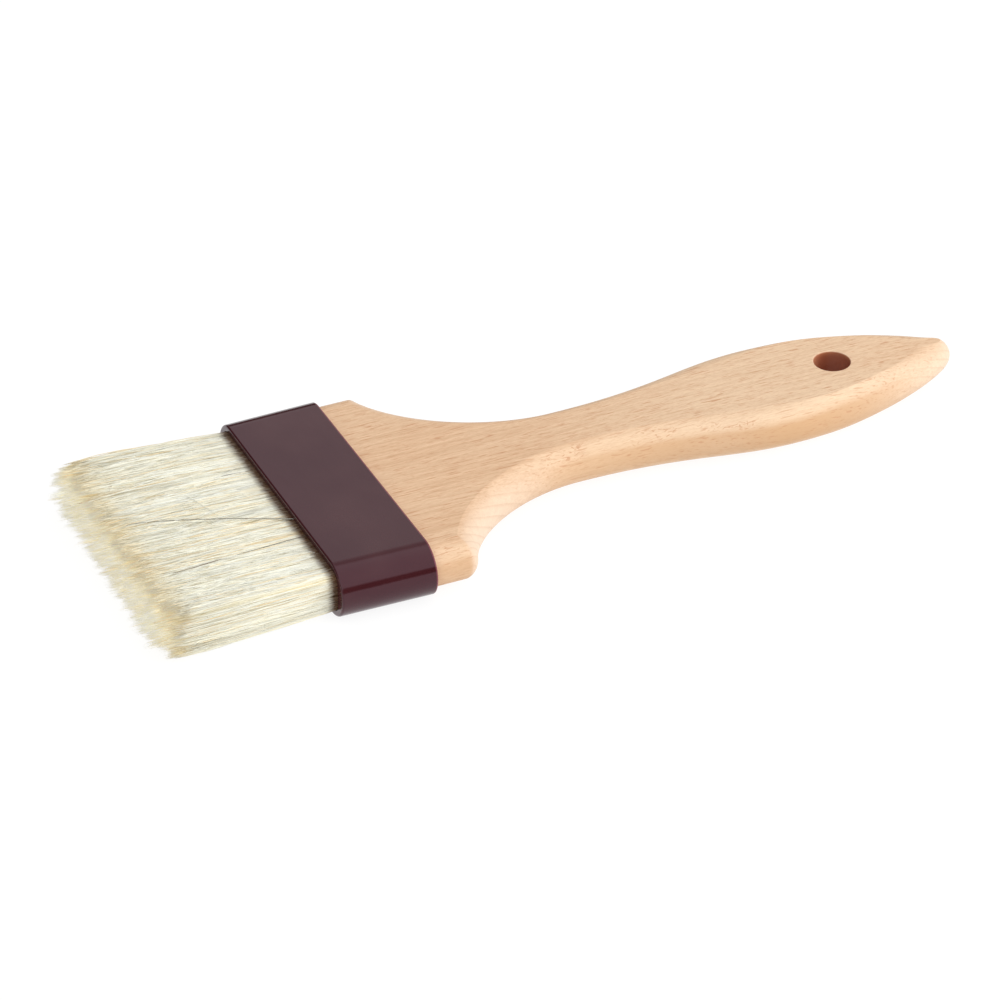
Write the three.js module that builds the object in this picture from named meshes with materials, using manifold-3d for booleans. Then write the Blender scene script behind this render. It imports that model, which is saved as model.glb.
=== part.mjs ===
// A 3 inch pastry brush, lying on the flat of its ferrule: a beech handle whose wide end is
// glued into a moulded plastic ferrule, and a pack of natural bristle whose roots are set in
// epoxy inside the ferrule, either side of a filler strip.
//
// Millimetres, +Z up. While the pieces are built, x = 0 is the mouth of the ferrule, +x runs to
// the tip of the handle, y is the width and z = 0 is the mid-plane. The last lines move the
// whole brush so that its origin is the middle of its base.

import * as THREE from 'three';
import { mergeVertices } from 'three/addons/utils/BufferGeometryUtils.js';
import Module from 'manifold-3d';

const wasm = await Module();
wasm.setup();

// ---- Driving dimensions -------------------------------------------------------------------

const FIT_GAP = 0.3;

const FERRULE_LENGTH = 23.5;
const FERRULE_THICKNESS = 14;
const FERRULE_MOUTH_WIDTH = 76.2;
const FERRULE_BACK_WIDTH = 77.4;
const FERRULE_WALL = 1.1;

// The mouth has an inward lip, so that the bristles come out through a snug, bevelled slot.
const LIP_LENGTH = 2.5;
const SLOT_WIDTH = 69.8;
const SLOT_THICKNESS = 10.4;
const SLOT_BEVEL = 0.55;
const SLOT_BEVEL_LENGTH = 0.8;

const HANDLE_THICKNESS = 11.4;
const HANDLE_TIP_X = 179.6;
const BLOCK_WIDTH = 74.2;
const BLOCK_FRONT_X = 12;
const CORNER_RADIUS = 3.5;
const HANG_HOLE_X = 146.5;
const HANG_HOLE_RADIUS = 4.5;

const BRISTLE_LENGTH_OUT = 45;
const PACK_WIDTH = 68.8;
const PACK_TIP_WIDTH = 71.6;
const PACK_THICKNESS = 9.6;
const PACK_TIP_THICKNESS = 11.8;
const PACK_TIP_ROUNDING = 3.5;
const PACK_PARTING = 0.3;
const FLEX_PIVOT_X = -1;

const SET_FRONT_X = 4.5;
const SET_SKIN = 0.8;
const SET_BACK_WALL = 1;
const FILLER_THICKNESS = 1.6;
const FILLER_WIDTH = 64;
const ROOT_NARROWING = 1.6;

// ---- Handle outline: half of the plan view, in (x, y) ---------------------------------------

// The widest and narrowest places of the grip, with how far each smooth curve reaches from them.
const BELLY = { x: 128, halfWidth: 17.4, towardsTip: 20.3, towardsNeck: 17.2 };
const NECK = { x: 74, halfWidth: 11, towardsBelly: 29, towardsShoulder: 18.6 };
const NOSE_REACH = 7.4;

// The shoulder meets the block leaning back by this angle, and is rounded into its side.
const SHOULDER_X = 35.2;
const SHOULDER_LEAN = THREE.MathUtils.degToRad(21.2);
const SHOULDER_REACH = 11.8;

// The sides are rounded over from face to face: how far the rounding eats in from the widest
// line of the side, measured square to the outline, at places along the handle.
const EDGE_INSETS = [
  [35, 4.8], [60, 4.4], [90, 4.7], [118, 5.5], [144, 3.4], [160, 4], [172, 5.3], [HANDLE_TIP_X, 2.5],
];

// Past the hanging hole both faces are sanded down towards the tip, by this share at the tip.
const THINNING_FROM_X = 145;
const TIP_THINNING = 0.31;

// How finely the curves are cut into flats. The steepest angles stop the levels short of the
// places where they would crowd together.
const OUTLINE_SAMPLES = 420;
const OUTLINE_POINTS = 96;
const OUTLINE_TOLERANCE = 0.02;
const SIDE_LEVELS = 12;
const SIDE_STEEPEST = THREE.MathUtils.degToRad(76);
const ARC_STEPS = 7;
const HOLE_STEPS = 40;
const TIP_STEPS = 4;
const REAR_STEPS = 5;
const REAR_STEEPEST = THREE.MathUtils.degToRad(78);

// A cutting tool runs this far past the faces it opens.
const CUT_OVERRUN = 1;

// ---- Colours ------------------------------------------------------------------------------

const BEECH = { color: 0xd8b48c, roughness: 0.62, metalness: 0 };
const OXBLOOD_PLASTIC = { color: 0x3c1a1e, roughness: 0.22, metalness: 0 };
const EPOXY = { color: 0x8a6a3c, roughness: 0.35, metalness: 0 };
const FILLER_WOOD = { color: 0xc29a6b, roughness: 0.8, metalness: 0 };
const BRISTLE = { color: 0xe6dfc8, roughness: 0.55, metalness: 0 };
const BRISTLE_ROOT = { color: 0xd2c6a4, roughness: 0.6, metalness: 0 };

// ---- Mesh helpers ---------------------------------------------------------------------------

function addTriangle(list, a, b, c) {
  const area = new THREE.Triangle(a, b, c).getArea();
  if (area > 1e-9) list.push(a, b, c);
}

function addQuad(list, a, b, c, d) {
  addTriangle(list, a, b, c);
  addTriangle(list, a, c, d);
}

function closedGeometry(corners) {
  const geometry = mergeVertices(new THREE.BufferGeometry().setFromPoints(corners), 1e-5);
  geometry.computeVertexNormals();
  return geometry;
}

// A skin through rings of equal count, each running anticlockwise seen from +x, with a fan
// across each end. The rings run from low x to high x.
function loft(rings) {
  const corners = [];
  for (let i = 0; i + 1 < rings.length; i += 1) {
    const [near, far] = [rings[i], rings[i + 1]];
    near.forEach((point, k) => {
      const next = (k + 1) % near.length;
      addQuad(corners, point, near[next], far[next], far[k]);
    });
  }
  const [first, last] = [rings[0], rings[rings.length - 1]];
  for (let k = 1; k + 1 < first.length; k += 1) {
    addTriangle(corners, first[0], first[k + 1], first[k]);
    addTriangle(corners, last[0], last[k], last[k + 1]);
  }
  return closedGeometry(corners);
}

function toSolid(geometry) {
  const bare = geometry.clone();
  bare.deleteAttribute('normal');
  bare.deleteAttribute('uv');
  const merged = mergeVertices(bare, 1e-5);
  return new wasm.Manifold(new wasm.Mesh({
    numProp: 3,
    vertProperties: new Float32Array(merged.attributes.position.array),
    triVerts: new Uint32Array(merged.index.array),
  }));
}

function toGeometry(solid) {
  const mesh = solid.getMesh();
  const geometry = new THREE.BufferGeometry();
  geometry.setAttribute('position', new THREE.BufferAttribute(mesh.vertProperties, 3));
  geometry.setIndex(new THREE.BufferAttribute(mesh.triVerts, 1));
  geometry.computeVertexNormals();
  return geometry;
}

function cut(geometry, tool) {
  return toGeometry(toSolid(geometry).subtract(toSolid(tool)));
}

function piece(name, geometry, finish) {
  const mesh = new THREE.Mesh(geometry, new THREE.MeshStandardMaterial(finish));
  mesh.name = name;
  return mesh;
}

// ---- Sections -------------------------------------------------------------------------------

// A flat-sided section with full-round ends, cut off below z = floor. Without a floor it is
// whole, and then its ring goes all the way round.
function roundEndedRing(x, width, thickness, floor = -thickness / 2) {
  const radius = thickness / 2;
  const centre = width / 2 - radius;
  const low = Math.asin(Math.max(floor / radius, -1));
  const steps = floor < 0 ? 2 * ARC_STEPS : ARC_STEPS;
  const right = [];
  for (let i = 0; i <= steps; i += 1) {
    const angle = low + ((Math.PI / 2 - low) * i) / steps;
    right.push(new THREE.Vector3(x, centre + radius * Math.cos(angle), radius * Math.sin(angle)));
  }
  const left = right.map((point) => new THREE.Vector3(x, -point.y, point.z)).reverse();
  return [...right, ...left];
}

function prism(xFrom, xTo, width, thickness) {
  return loft([roundEndedRing(xFrom, width, thickness), roundEndedRing(xTo, width, thickness)]);
}

// ---- Handle ---------------------------------------------------------------------------------

function handleOutline() {
  const cornerX = SHOULDER_X - CORNER_RADIUS * Math.cos(SHOULDER_LEAN);
  const cornerY = BLOCK_WIDTH / 2 - CORNER_RADIUS;
  const shoulderY = cornerY + CORNER_RADIUS * Math.sin(SHOULDER_LEAN);
  const path = new THREE.Path();
  path.moveTo(BLOCK_FRONT_X, BLOCK_WIDTH / 2);
  path.lineTo(cornerX, BLOCK_WIDTH / 2);
  path.absarc(cornerX, cornerY, CORNER_RADIUS, Math.PI / 2, SHOULDER_LEAN, true);
  path.bezierCurveTo(
    SHOULDER_X + SHOULDER_REACH * Math.sin(SHOULDER_LEAN),
    shoulderY - SHOULDER_REACH * Math.cos(SHOULDER_LEAN),
    NECK.x - NECK.towardsShoulder, NECK.halfWidth,
    NECK.x, NECK.halfWidth,
  );
  path.bezierCurveTo(
    NECK.x + NECK.towardsBelly, NECK.halfWidth,
    BELLY.x - BELLY.towardsNeck, BELLY.halfWidth,
    BELLY.x, BELLY.halfWidth,
  );
  path.bezierCurveTo(
    BELLY.x + BELLY.towardsTip, BELLY.halfWidth,
    HANDLE_TIP_X, NOSE_REACH,
    HANDLE_TIP_X, 0,
  );
  return path.getSpacedPoints(OUTLINE_SAMPLES);
}

function edgeInset(x) {
  const place = THREE.MathUtils.clamp(x, EDGE_INSETS[0][0], HANDLE_TIP_X);
  const next = Math.max(EDGE_INSETS.findIndex(([at]) => at >= place), 1);
  const [x0, inset0] = EDGE_INSETS[next - 1];
  const [x1, inset1] = EDGE_INSETS[next];
  return THREE.MathUtils.lerp(inset0, inset1, THREE.MathUtils.smoothstep(place, x0, x1));
}

// How far the rounded side lies inside the outline at height z: a circular arc that is flush
// with the outline at mid-height and edgeInset(x) inside it at the faces.
function insetAtHeight(x, z) {
  const half = HANDLE_THICKNESS / 2;
  const depth = edgeInset(x);
  const radius = (half * half + depth * depth) / (2 * depth);
  return radius - Math.sqrt(radius * radius - z * z);
}

// The handle's half outline at height z: the plan outline moved inwards, with the stretches
// dropped where the moved line crosses itself, and never outside the block's full-round side.
function outlineAtHeight(outline, z) {
  const half = HANDLE_THICKNESS / 2;
  const blockSide = BLOCK_WIDTH / 2 - half + Math.sqrt(Math.max(half * half - z * z, 0));
  const level = [];
  outline.forEach((point, i) => {
    const before = outline[Math.max(i - 1, 0)];
    const after = outline[Math.min(i + 1, outline.length - 1)];
    const along = after.clone().sub(before).normalize();
    const inset = insetAtHeight(point.x, z);
    const moved = new THREE.Vector2(point.x + along.y * inset, point.y - along.x * inset);
    const tooClose = outline.some((other) => other.distanceTo(moved) < inset - OUTLINE_TOLERANCE);
    if (tooClose || moved.y < 0) return;
    level.push(new THREE.Vector2(moved.x, Math.min(moved.y, blockSide)));
  });
  const [beforeLast, last] = level.slice(-2);
  const slope = (last.x - beforeLast.x) / Math.max(beforeLast.y - last.y, 1e-6);
  level.push(new THREE.Vector2(last.x + Math.min(slope, 1) * last.y, 0));
  level[0].x = BLOCK_FRONT_X;
  return spacedAlong(level, OUTLINE_POINTS);
}

function thinning(x) {
  const share = THREE.MathUtils.clamp((x - THINNING_FROM_X) / (HANDLE_TIP_X - THINNING_FROM_X), 0, 1);
  return 1 - TIP_THINNING * share * share;
}

function spacedAlong(points, count) {
  const reach = [0];
  for (let i = 1; i < points.length; i += 1) {
    reach.push(reach[i - 1] + points[i].distanceTo(points[i - 1]));
  }
  const total = reach[reach.length - 1];
  const spaced = [];
  let at = 1;
  for (let k = 0; k < count; k += 1) {
    const wanted = (total * k) / (count - 1);
    while (at < points.length - 1 && reach[at] < wanted) at += 1;
    const share = (wanted - reach[at - 1]) / Math.max(reach[at] - reach[at - 1], 1e-9);
    spaced.push(points[at - 1].clone().lerp(points[at], Math.min(share, 1)));
  }
  spaced[count - 1].y = 0;
  return spaced;
}

function handleBody() {
  const outline = handleOutline();
  const half = HANDLE_THICKNESS / 2;
  const levels = [];
  for (let j = 0; j <= SIDE_LEVELS; j += 1) {
    const angle = THREE.MathUtils.lerp(-SIDE_STEEPEST, SIDE_STEEPEST, j / SIDE_LEVELS);
    const z = (half * Math.sin(angle)) / Math.sin(SIDE_STEEPEST);
    levels.push({ z, points: outlineAtHeight(outline, z) });
  }
  const at = (j, i, side) => {
    const point = levels[j].points[i];
    return new THREE.Vector3(point.x, side * point.y, levels[j].z * thinning(point.x));
  };
  const corners = [];
  for (let j = 0; j < SIDE_LEVELS; j += 1) {
    for (let i = 0; i + 1 < OUTLINE_POINTS; i += 1) {
      addQuad(corners, at(j, i, -1), at(j, i + 1, -1), at(j + 1, i + 1, -1), at(j + 1, i, -1));
      addQuad(corners, at(j, i, 1), at(j + 1, i, 1), at(j + 1, i + 1, 1), at(j, i + 1, 1));
    }
    addQuad(corners, at(j, 0, -1), at(j + 1, 0, -1), at(j + 1, 0, 1), at(j, 0, 1));
  }
  for (let i = 0; i + 1 < OUTLINE_POINTS; i += 1) {
    const top = SIDE_LEVELS;
    addQuad(corners, at(top, i, -1), at(top, i + 1, -1), at(top, i + 1, 1), at(top, i, 1));
    addQuad(corners, at(0, i, -1), at(0, i, 1), at(0, i + 1, 1), at(0, i + 1, -1));
  }
  return closedGeometry(corners);
}

function makeHandle() {
  const depth = HANDLE_THICKNESS + 2 * CUT_OVERRUN;
  const hole = new THREE.CylinderGeometry(HANG_HOLE_RADIUS, HANG_HOLE_RADIUS, depth, HOLE_STEPS);
  hole.rotateX(Math.PI / 2);
  hole.translate(HANG_HOLE_X, 0, 0);
  return piece('handle', cut(handleBody(), hole), BEECH);
}

// ---- Ferrule --------------------------------------------------------------------------------

// The sleeve widens from mouth to back, which is the draft that lets it off its mould core.
function ferruleLoft(xFrom, xTo, offset) {
  const widen = (FERRULE_BACK_WIDTH - FERRULE_MOUTH_WIDTH) / FERRULE_LENGTH;
  return loft([xFrom, xTo].map((x) => roundEndedRing(
    x,
    FERRULE_MOUTH_WIDTH + widen * x - 2 * offset,
    FERRULE_THICKNESS - 2 * offset,
  )));
}

// The bevel's slope is carried on in front of the mouth, where it is twice as wide.
function slotLoft() {
  const stations = [
    { x: -SLOT_BEVEL_LENGTH, extra: 4 * SLOT_BEVEL },
    { x: SLOT_BEVEL_LENGTH, extra: 0 },
    { x: LIP_LENGTH + CUT_OVERRUN, extra: 0 },
  ];
  return loft(stations.map(({ x, extra }) => roundEndedRing(x, SLOT_WIDTH + extra, SLOT_THICKNESS + extra)));
}

function makeFerrule() {
  const cavity = ferruleLoft(LIP_LENGTH, FERRULE_LENGTH + CUT_OVERRUN, FERRULE_WALL);
  const sleeve = cut(ferruleLoft(0, FERRULE_LENGTH, 0), cavity);
  return piece('ferrule', cut(sleeve, slotLoft()), OXBLOOD_PLASTIC);
}

// ---- What holds the bristles ----------------------------------------------------------------

const SET_BACK_X = BLOCK_FRONT_X - FIT_GAP;
const SET_THICKNESS = FERRULE_THICKNESS - 2 * (FERRULE_WALL + FIT_GAP);
const SET_WIDTH = FERRULE_MOUTH_WIDTH - 2 * (FERRULE_WALL + FIT_GAP);
const POCKET_BACK_X = SET_BACK_X - SET_BACK_WALL;
const ROOT_BACK_X = POCKET_BACK_X - FIT_GAP;
const ROOT_FRONT_X = FLEX_PIVOT_X + PACK_THICKNESS / 2 + FIT_GAP;
const ROOT_THICKNESS = SET_THICKNESS - 2 * (SET_SKIN + FIT_GAP);
const ROOT_WIDTH = PACK_WIDTH - ROOT_NARROWING;
const ROOT_FLOOR = FILLER_THICKNESS / 2 + FIT_GAP;

function makeEpoxySet() {
  const block = prism(SET_FRONT_X, SET_BACK_X, SET_WIDTH, SET_THICKNESS);
  const pocketWidth = ROOT_WIDTH + 2 * FIT_GAP;
  const pocketThickness = ROOT_THICKNESS + 2 * FIT_GAP;
  const pocket = prism(SET_FRONT_X - CUT_OVERRUN, POCKET_BACK_X, pocketWidth, pocketThickness);
  return piece('epoxy_set', cut(block, pocket), EPOXY);
}

function makeFillerStrip() {
  const strip = new THREE.BoxGeometry(ROOT_BACK_X - ROOT_FRONT_X, FILLER_WIDTH, FILLER_THICKNESS);
  const mesh = piece('filler_strip', strip, FILLER_WOOD);
  mesh.position.x = (ROOT_FRONT_X + ROOT_BACK_X) / 2;
  return mesh;
}

// ---- Bristles: an upper and a lower bank, the lower one the upper turned over ----------------

function makeRoots(name, turn) {
  const ring = (x) => roundEndedRing(x, ROOT_WIDTH, ROOT_THICKNESS, ROOT_FLOOR);
  const mesh = piece(name, loft([ring(ROOT_FRONT_X), ring(ROOT_BACK_X)]), BRISTLE_ROOT);
  mesh.rotation.x = turn;
  return mesh;
}

// The section of the free pack at x. Ahead of the pivot it flares slowly towards the tips, where
// its edge is rounded. Behind the pivot it closes as a cylinder about the flex axis, so that the
// pack can swing inside the mouth.
function packRing(x) {
  const share = Math.max((FLEX_PIVOT_X - x) / (FLEX_PIVOT_X + BRISTLE_LENGTH_OUT), 0);
  const fullThickness = THREE.MathUtils.lerp(PACK_THICKNESS, PACK_TIP_THICKNESS, share);
  const fullWidth = THREE.MathUtils.lerp(PACK_WIDTH, PACK_TIP_WIDTH, share);
  const pastTipEdge = Math.max(PACK_TIP_ROUNDING - BRISTLE_LENGTH_OUT - x, 0);
  const tipLoss = PACK_TIP_ROUNDING - Math.sqrt(PACK_TIP_ROUNDING ** 2 - pastTipEdge ** 2);
  const behind = Math.max(x - FLEX_PIVOT_X, 0);
  const rearHalf = Math.sqrt((PACK_THICKNESS / 2) ** 2 - behind ** 2);
  const rearLoss = PACK_THICKNESS / 2 - rearHalf;
  const loss = 2 * (tipLoss + rearLoss);
  return roundEndedRing(x, fullWidth - loss, fullThickness - loss, PACK_PARTING / 2);
}

function packStations() {
  const stations = [];
  for (let i = 0; i <= TIP_STEPS; i += 1) {
    const angle = ((1 - i / TIP_STEPS) * Math.PI) / 2;
    stations.push(-BRISTLE_LENGTH_OUT + PACK_TIP_ROUNDING * (1 - Math.sin(angle)));
  }
  stations.push(-BRISTLE_LENGTH_OUT / 2);
  for (let i = 0; i <= REAR_STEPS; i += 1) {
    const angle = (REAR_STEEPEST * i) / REAR_STEPS;
    stations.push(FLEX_PIVOT_X + (PACK_THICKNESS / 2) * Math.sin(angle));
  }
  return stations;
}

function makeBank(name, turn) {
  const mesh = piece(name, loft(packStations().map(packRing)), BRISTLE);
  mesh.rotation.x = turn;
  return mesh;
}

// ---- Assembly -------------------------------------------------------------------------------

const TURNED_OVER = Math.PI;

const brush = new THREE.Group();
brush.add(
  makeHandle(),
  makeFerrule(),
  makeEpoxySet(),
  makeFillerStrip(),
  makeRoots('bristle_roots_upper', 0),
  makeRoots('bristle_roots_lower', TURNED_OVER),
  makeBank('bristle_bank_upper', 0),
  makeBank('bristle_bank_lower', TURNED_OVER),
);

// The origin goes to the middle of the base, under the middle of the overall length.
brush.position.set((BRISTLE_LENGTH_OUT - HANDLE_TIP_X) / 2, 0, FERRULE_THICKNESS / 2);

export default brush;
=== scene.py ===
"""A 3 inch pastry brush on a pale studio floor: a beech handle, an oxblood plastic ferrule and
some thousands of separate natural bristles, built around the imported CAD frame.

Shapes are worked out in millimetres from the ferrule's mouth: x = 0 is the mouth, +x runs to
the tip of the handle, y is the width and z = 0 is the mid-plane. place() moves them to the row
frame, in metres.
"""

import math

import bpy
import bmesh
import numpy as np
from mathutils import Matrix, Vector


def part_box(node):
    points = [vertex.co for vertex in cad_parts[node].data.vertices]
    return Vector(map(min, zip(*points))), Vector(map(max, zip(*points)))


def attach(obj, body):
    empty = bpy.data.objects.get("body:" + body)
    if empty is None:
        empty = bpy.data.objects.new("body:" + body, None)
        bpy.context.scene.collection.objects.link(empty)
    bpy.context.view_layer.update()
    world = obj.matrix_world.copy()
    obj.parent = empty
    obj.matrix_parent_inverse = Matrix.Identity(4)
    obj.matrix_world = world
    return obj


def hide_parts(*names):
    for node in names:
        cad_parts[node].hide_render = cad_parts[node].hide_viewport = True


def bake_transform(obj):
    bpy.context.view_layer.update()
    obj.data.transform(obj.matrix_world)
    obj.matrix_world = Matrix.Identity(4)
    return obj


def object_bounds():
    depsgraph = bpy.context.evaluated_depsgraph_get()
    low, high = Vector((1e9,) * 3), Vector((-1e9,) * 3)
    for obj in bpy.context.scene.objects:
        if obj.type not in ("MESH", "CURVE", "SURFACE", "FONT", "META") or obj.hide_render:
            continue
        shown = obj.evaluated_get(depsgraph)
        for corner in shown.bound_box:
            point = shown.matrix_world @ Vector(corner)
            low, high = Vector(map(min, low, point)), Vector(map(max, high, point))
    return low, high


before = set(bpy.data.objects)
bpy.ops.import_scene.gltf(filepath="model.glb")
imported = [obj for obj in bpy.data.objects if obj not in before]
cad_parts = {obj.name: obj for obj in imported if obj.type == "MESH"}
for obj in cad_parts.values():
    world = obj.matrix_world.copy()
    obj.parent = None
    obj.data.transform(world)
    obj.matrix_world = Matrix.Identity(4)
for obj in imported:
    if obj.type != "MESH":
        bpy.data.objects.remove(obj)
CAD_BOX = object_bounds()

MM = 0.001
ROOT_BODY = "handle_and_ferrule"

# ---- Sizes taken from the frame, in millimetres ---------------------------------------------

FERRULE_LOW, FERRULE_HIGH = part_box("ferrule")
HANDLE_LOW, HANDLE_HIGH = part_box("handle")
BANK_LOW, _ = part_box("bristle_bank_upper")
SET_LOW, SET_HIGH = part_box("epoxy_set")
_, ROOTS_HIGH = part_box("bristle_roots_upper")

MOUTH = Vector((FERRULE_LOW.x, 0, (FERRULE_LOW.z + FERRULE_HIGH.z) / 2))
FERRULE_LENGTH = (FERRULE_HIGH.x - FERRULE_LOW.x) / MM
FERRULE_RADIUS = (FERRULE_HIGH.z - FERRULE_LOW.z) / MM / 2
FERRULE_BACK_HALF = FERRULE_HIGH.y / MM
HANDLE_HALF = (HANDLE_HIGH.z - HANDLE_LOW.z) / MM / 2
HANDLE_TIP_X = (HANDLE_HIGH.x - MOUTH.x) / MM
BLOCK_FRONT_X = (HANDLE_LOW.x - MOUTH.x) / MM
BLOCK_HALF = HANDLE_HIGH.y / MM
BRISTLE_TIP_X = (BANK_LOW.x - MOUTH.x) / MM
ROOT_BACK_X = (ROOTS_HIGH.x - MOUTH.x) / MM

# ---- Shape constants that the frame's boxes don't hold ----------------------------------------

FERRULE_MOUTH_HALF = 38.1
FERRULE_WALL = 1.1
OUTER_EDGE = 0.55
INNER_EDGE = 0.25

# The mouth's inward lip: its depth, and the slot it leaves for the bristles.
LIP_LENGTH = 2.5
SLOT_HALF_WIDTH = 34.95
SLOT_HALF_THICKNESS = 5.2
SLOT_CORNER = 2.6

CORNER_RADIUS = 3.5
SHOULDER_X = 35.2
SHOULDER_LEAN = math.radians(21.2)
SHOULDER_REACH = 11.8
NECK = {"x": 74, "half": 11, "to_shoulder": 18.6, "to_belly": 29}
BELLY = {"x": 128, "half": 17.4, "to_neck": 17.2, "to_tip": 20.3}
NOSE_REACH = 7.4
EDGE_INSETS = [
    (35, 4.8), (60, 4.4), (90, 4.7), (118, 5.5), (144, 3.4), (160, 4), (172, 5.3), (HANDLE_TIP_X, 2.5),
]
THINNING_FROM_X = 145
TIP_THINNING = 0.31

# The side is rounded from face to face up to this steepness, and each face starts this far in.
SIDE_STEEPEST = math.radians(76)
FACE_INSET = 0.35

HANG_HOLE_X = 146.5
HANG_HOLE_RADIUS = 4.5
HOLE_EDGE = 0.4

# ---- Placing and meshing ----------------------------------------------------------------------

# Points closer than this, in metres, are one point.
WELD = 1e-6

# How many steps there are round half of a round-ended section, and across its flat face.
ARC_STEPS = 36
FLAT_STEPS = 10


def place(points):
    """Points in millimetres from the mouth, as metres in the row frame."""
    return np.asarray(points, float) * MM + np.array(MOUTH)


def add_object(name, mesh, material):
    piece = bpy.data.objects.new(name, mesh)
    bpy.context.scene.collection.objects.link(piece)
    mesh.materials.append(material)
    return piece


def mesh_of(name, points, faces):
    mesh = bpy.data.meshes.new(name)
    mesh.from_pydata([tuple(p) for p in place(points)], [], faces)
    mesh.validate()
    return mesh


def clean(mesh):
    """Welds the points that meet and turns all faces outwards."""
    work = bmesh.new()
    work.from_mesh(mesh)
    bmesh.ops.remove_doubles(work, verts=work.verts, dist=WELD)
    bmesh.ops.dissolve_degenerate(work, edges=work.edges, dist=WELD / 10)
    bmesh.ops.recalc_face_normals(work, faces=work.faces)
    work.to_mesh(mesh)
    work.free()


def smooth(mesh, angle):
    """Shades smoothly, except over edges that turn by more than angle, in degrees."""
    mesh.shade_smooth()
    mesh.set_sharp_from_angle(angle=math.radians(angle))


def apply_modifiers(piece):
    """Puts the result of the piece's modifiers into its mesh."""
    bpy.context.view_layer.update()
    graph = bpy.context.evaluated_depsgraph_get()
    mesh = bpy.data.meshes.new_from_object(piece.evaluated_get(graph))
    piece.modifiers.clear()
    piece.data = mesh


def sharpen_face_rim(mesh):
    """Keeps the line crisp where the rounded side meets the handle's two flat faces."""
    work = bmesh.new()
    work.from_mesh(mesh)

    def on_face(point):
        x, height = (point.x - MOUTH.x) / MM, abs(point.z - MOUTH.z) / MM
        share = min(max((x - THINNING_FROM_X) / (HANDLE_TIP_X - THINNING_FROM_X), 0), 1)
        return height > HANDLE_HALF * (1 - TIP_THINNING * share**2) - 0.01

    flat = {face: all(on_face(v.co) for v in face.verts) for face in work.faces}
    for edge in work.edges:
        sides = [flat[face] for face in edge.link_faces]
        if sides.count(True) == 1 and len(sides) == 2 and edge.calc_face_angle(0) > math.radians(4):
            edge.smooth = False
    work.to_mesh(mesh)
    work.free()


def weight_normals(piece):
    """Lets the big flat faces keep flat shading beside small rounded edges."""
    modifier = piece.modifiers.new("weighted", "WEIGHTED_NORMAL")
    modifier.keep_sharp = True
    apply_modifiers(piece)


def grid_faces(rows, columns, wrap):
    """Quads of a rows x columns grid of points; wrap closes each row on itself."""
    last = columns if wrap else columns - 1
    faces = []
    for r in range(rows - 1):
        for c in range(last):
            here, after = r * columns + c, r * columns + (c + 1) % columns
            faces.append((here, after, after + columns, here + columns))
    return faces


# ---- Material building ------------------------------------------------------------------------


class Shader:
    """A Principled material, with short calls for the nodes that feed it."""

    def __init__(self, name):
        self.material = bpy.data.materials.new(name)
        self.material.use_nodes = True
        self.tree = self.material.node_tree
        self.out = self.tree.nodes["Principled BSDF"]

    def node(self, kind, inputs=None, **settings):
        made = self.tree.nodes.new(kind)
        for key, value in settings.items():
            setattr(made, key, value)
        for key, value in (inputs or {}).items():
            self.feed(made.inputs[key], value)
        return made

    def feed(self, socket, value):
        if isinstance(value, bpy.types.NodeSocket):
            self.tree.links.new(value, socket)
        else:
            socket.default_value = value

    def set(self, **values):
        for key, value in values.items():
            self.feed(self.out.inputs[key.replace("_", " ")], value)

    def math(self, operation, a, b=0.0):
        return self.node("ShaderNodeMath", {0: a, 1: b}, operation=operation).outputs[0]

    def vector_math(self, operation, a, b=(0, 0, 0)):
        return self.node("ShaderNodeVectorMath", {0: a, 1: b}, operation=operation).outputs

    def step(self, value, low, high, out_low=0.0, out_high=1.0):
        """Goes smoothly from out_low to out_high while value goes from low to high."""
        inputs = {"Value": value, "From Min": low, "From Max": high}
        inputs |= {"To Min": out_low, "To Max": out_high}
        made = self.node("ShaderNodeMapRange", inputs, interpolation_type="SMOOTHSTEP")
        return made.outputs["Result"]

    def mix(self, share, a, b, blend="MIX"):
        made = self.node("ShaderNodeMix", data_type="RGBA", blend_type=blend)
        self.feed(made.inputs["Factor"], share)
        self.feed(made.inputs["A"], a)
        self.feed(made.inputs["B"], b)
        return made.outputs["Result"]

    def noise(self, vector, detail=2.0, rough=0.5):
        inputs = {"Vector": vector, "Scale": 1.0, "Detail": detail, "Roughness": rough}
        return self.node("ShaderNodeTexNoise", inputs).outputs["Fac"]

    def noise_vector(self, vector, detail):
        inputs = {"Vector": vector, "Scale": 1.0, "Detail": detail}
        return self.node("ShaderNodeTexNoise", inputs).outputs["Color"]

    def offset(self, vector, push, reach):
        """The vector moved by up to half of reach either way, as push, from 0 to 1, says."""
        centred = self.vector_math("SUBTRACT", push, (0.5, 0.5, 0.5))[0]
        return self.vector_math("ADD", vector, self.vector_math("MULTIPLY", centred, reach)[0])[0]

    def stretched(self, vector, size):
        """The vector divided by size, so that one unit is that many millimetres."""
        scale = tuple(1 / s for s in size)
        return self.node("ShaderNodeMapping", {"Vector": vector, "Scale": scale}).outputs[0]

    def millimetres(self):
        place_of = self.node("ShaderNodeTexCoord").outputs["Object"]
        return self.stretched(place_of, (MM, MM, MM))

    def from_mouth(self, mm):
        """The distance behind the ferrule's mouth, in millimetres."""
        x = self.node("ShaderNodeSeparateXYZ", {"Vector": mm}).outputs["X"]
        return self.math("SUBTRACT", x, MOUTH.x / MM)

    def bump(self, height, strength, depth):
        inputs = {"Height": height, "Strength": strength, "Distance": depth * MM}
        return self.node("ShaderNodeBump", inputs).outputs[0]


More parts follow.
